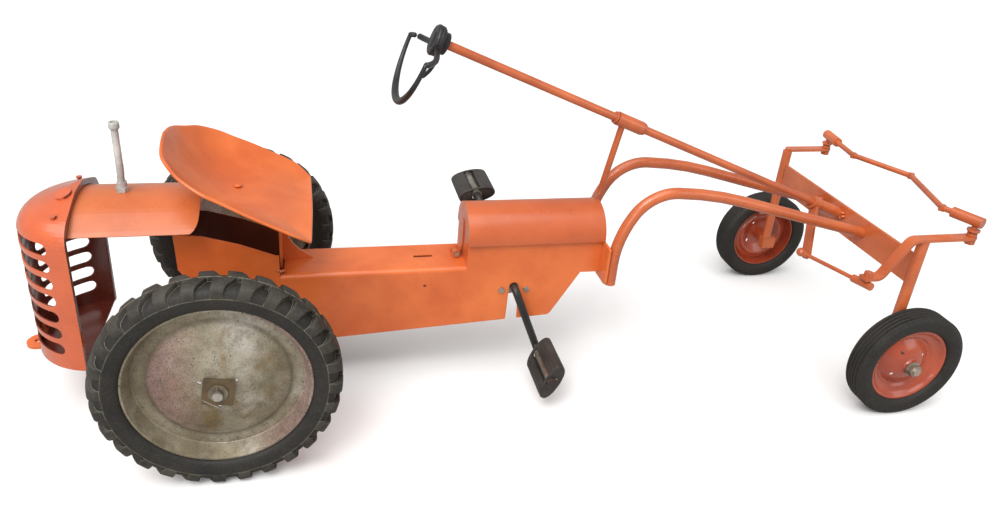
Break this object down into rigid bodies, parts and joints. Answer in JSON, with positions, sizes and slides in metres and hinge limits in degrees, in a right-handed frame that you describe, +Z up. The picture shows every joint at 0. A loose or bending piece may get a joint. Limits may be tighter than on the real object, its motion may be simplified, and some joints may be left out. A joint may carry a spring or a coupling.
{
  "type": "pedal tractor",
  "caption": "Child's pedal tractor: orange pressed-steel body and seat, chain-driven rear axle, long tube nose, steered front axle and a tank lid that lifts.",
  "frame": {"origin": "on the ground under the middle of the whole length and width", "axes": "+X forward, from the drawbar towards the steered wheels; +Y to the tractor's left; +Z up"},
  "size_m": [1.4066, 0.482, 0.5598],
  "materials": {
    "orange_paint": "glossy, worn and scuffed, with pale chips and dark runs",
    "bare_steel": "dull zinc with brown stains",
    "silver_paint": "satin silver",
    "black_paint": "satin black, scuffed",
    "worn_grey_paint": "matt grey over tan and olive stains",
    "black_rubber": "matt moulded rubber",
    "black_plastic": "satin black",
    "tyre_rubber": "dusty charcoal, grey where worn"
  },
  "bodies": {
    "frame": {"chassis_shell": "orange_paint", "hood_bracket": "orange_paint", "rear_axle_bearings": "bare_steel", "crank_bearings": "bare_steel", "crank_bearing_bolts": "bare_steel", "drive_chain": "bare_steel", "grille_shell": "orange_paint", "grille_screws": "orange_paint", "grille_cap": "orange_paint", "hood": "orange_paint", "exhaust_base": "silver_paint", "exhaust_pipe": "silver_paint", "drawbar": "orange_paint", "seat_bracket": "orange_paint", "seat_pan": "orange_paint", "seat_bolt": "orange_paint", "nose_plate": "orange_paint", "nose_bolt": "black_paint", "tank_hinge_bolt": "bare_steel", "frame_tube_right": "orange_paint", "frame_tube_left": "orange_paint", "bolster_plate": "orange_paint", "kingpin_tubes": "orange_paint", "column_strut": "orange_paint", "column_collar": "orange_paint", "column_bearing": "orange_paint"},
    "crank": {"crank_shaft": "black_paint", "crank_sprocket": "bare_steel", "pedal_caps": "bare_steel"},
    "pedal_right": {"pedal_right": "black_rubber", "pedal_sleeve_right": "bare_steel"},
    "pedal_left": {"pedal_left": "black_rubber", "pedal_sleeve_left": "bare_steel"},
    "rear_axle": {"rear_axle": "bare_steel", "axle_sprocket": "bare_steel", "drive_plate": "bare_steel", "axle_fasteners": "bare_steel", "rear_disc_right": "worn_grey_paint", "rear_tyre_right": "tyre_rubber"},
    "rear_left_wheel": {"rear_disc_left": "worn_grey_paint", "rear_tyre_left": "tyre_rubber"},
    "tank_lid": {"tank_cover": "orange_paint", "tank_hinge_strap": "orange_paint"},
    "knuckle_right": {"kingpin_right": "bare_steel", "steering_arm_right": "orange_paint", "tail_bolt": "orange_paint", "front_nut_right": "bare_steel"},
    "knuckle_left": {"kingpin_left": "bare_steel", "steering_arm_left": "orange_paint", "front_nut_left": "bare_steel"},
    "tie_rod": {"tie_rod": "orange_paint", "tie_rod_studs": "bare_steel"},
    "steering": {"steering_shaft": "orange_paint", "steering_wheel": "black_plastic", "pitman_arm": "orange_paint"},
    "drag_link": {"drag_link": "orange_paint"},
    "front_wheel_right": {"front_disc_right": "orange_paint", "front_tyre_right": "tyre_rubber"},
    "front_wheel_left": {"front_disc_left": "orange_paint", "front_tyre_left": "tyre_rubber"}
  },
  "joints": [
    {"name": "crank_turn", "type": "hinge", "parent": "frame", "child": "crank", "pos_m": [0.00954, 0, 0.16042], "axis": [0, 1, 0], "continuous": true},
    {"name": "pedal_right_spin", "type": "hinge", "parent": "crank", "child": "pedal_right", "pos_m": [0.05109, -0.11, 0.05426], "axis": [0, 1, 0], "continuous": true},
    {"name": "pedal_left_spin", "type": "hinge", "parent": "crank", "child": "pedal_left", "pos_m": [-0.03202, 0.11, 0.26657], "axis": [0, 1, 0], "continuous": true},
    {"name": "rear_axle_turn", "type": "hinge", "parent": "frame", "child": "rear_axle", "pos_m": [-0.41158, 0, 0.1524], "axis": [0, 1, 0], "continuous": true},
    {"name": "rear_left_wheel_spin", "type": "hinge", "parent": "rear_axle", "child": "rear_left_wheel", "pos_m": [-0.41158, 0.205, 0.1524], "axis": [0, 1, 0], "continuous": true},
    {"name": "tank_lid_hinge", "type": "hinge", "parent": "frame", "child": "tank_lid", "pos_m": [-0.07797, 0, 0.20637], "axis": [0, -1, 0], "range_deg": [0, 70]},
    {"name": "knuckle_right_steer", "type": "hinge", "parent": "frame", "child": "knuckle_right", "pos_m": [0.59188, -0.18, 0.18908], "axis": [0.0109, 0, 0.9999], "range_deg": [-18, 18]},
    {"name": "knuckle_left_steer", "type": "hinge", "parent": "frame", "child": "knuckle_left", "pos_m": [0.59188, 0.18, 0.18908], "axis": [0.0109, 0, 0.9999], "range_deg": [-18, 18]},
    {"name": "tie_rod_pivot", "type": "hinge", "parent": "knuckle_right", "child": "tie_rod", "pos_m": [0.67425, -0.18, 0.31449], "axis": [0.0109, 0, 0.9999], "range_deg": [-18, 18]},
    {"name": "steering_turn", "type": "hinge", "parent": "frame", "child": "steering", "pos_m": [0.58398, 0, 0.24417], "axis": [-0.9234, 0, 0.3839], "range_deg": [-16, 16]},
    {"name": "drag_link_pivot", "type": "hinge", "parent": "steering", "child": "drag_link", "pos_m": [0.49591, -0.04902, 0.19904], "axis": [0.8518, -0.4445, -0.2773], "range_deg": [-26, 26]},
    {"name": "front_wheel_right_spin", "type": "hinge", "parent": "knuckle_right", "child": "front_wheel_right", "pos_m": [0.5988, -0.211, 0.09], "axis": [0, 1, 0], "continuous": true},
    {"name": "front_wheel_left_spin", "type": "hinge", "parent": "knuckle_left", "child": "front_wheel_left", "pos_m": [0.5988, 0.211, 0.09], "axis": [0, 1, 0], "continuous": true}
  ],
  "couplings": [
    {"joint": "crank_turn", "follows": "rear_axle_turn", "ratio": 0.75},
    {"joint": "knuckle_left_steer", "follows": "knuckle_right_steer", "ratio": 1},
    {"joint": "tie_rod_pivot", "follows": "knuckle_right_steer", "ratio": -1},
    {"joint": "steering_turn", "follows": "knuckle_right_steer", "ratio": 0.86615},
    {"joint": "drag_link_pivot", "follows": "knuckle_right_steer", "ratio": 1.4001}
  ]
}
